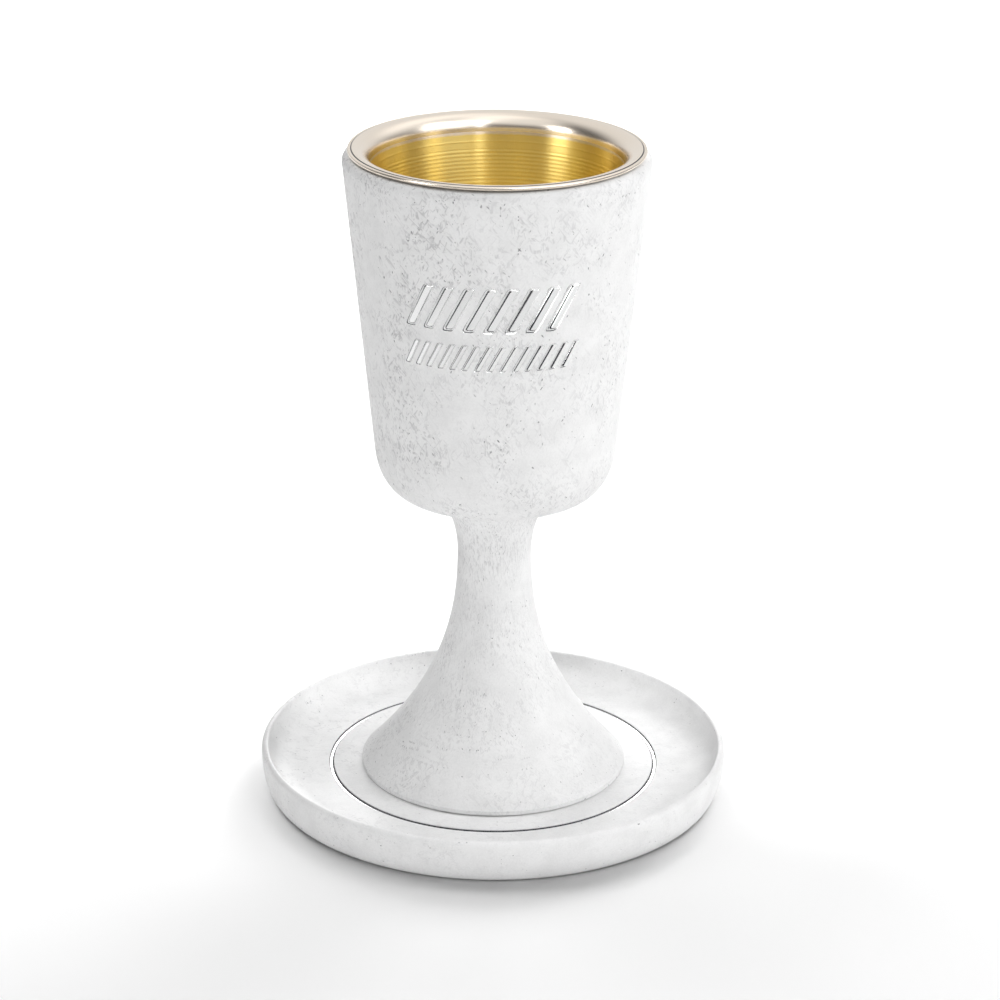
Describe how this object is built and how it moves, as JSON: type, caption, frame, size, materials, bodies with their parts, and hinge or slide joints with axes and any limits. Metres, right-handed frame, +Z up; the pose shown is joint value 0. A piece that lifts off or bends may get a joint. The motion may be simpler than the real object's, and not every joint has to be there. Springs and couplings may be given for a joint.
{
  "type": "kiddush cup",
  "caption": "Footed wine goblet of white cast resin with a lift-out gold coloured metal liner, standing on a shallow round saucer.",
  "frame": {"origin": "middle of the saucer's underside, on the turning axis", "axes": "+Z up along the turning axis, -Y towards the front of the goblet, which carries the raised strokes"},
  "size_m": [0.1152, 0.1152, 0.1629],
  "materials": {
    "cast_resin": "matte white filled resin with fine silver-grey specks and hairline scratches",
    "liner_metal": "spun metal, satin gold inside and pale champagne on the rolled lip",
    "silver_foil": "bright silver skin on the raised strokes of the goblet and in the ring groove of the saucer"
  },
  "bodies": {
    "root": {"saucer": "cast_resin", "goblet": "cast_resin", "liner": "liner_metal"}
  },
  "joints": []
}
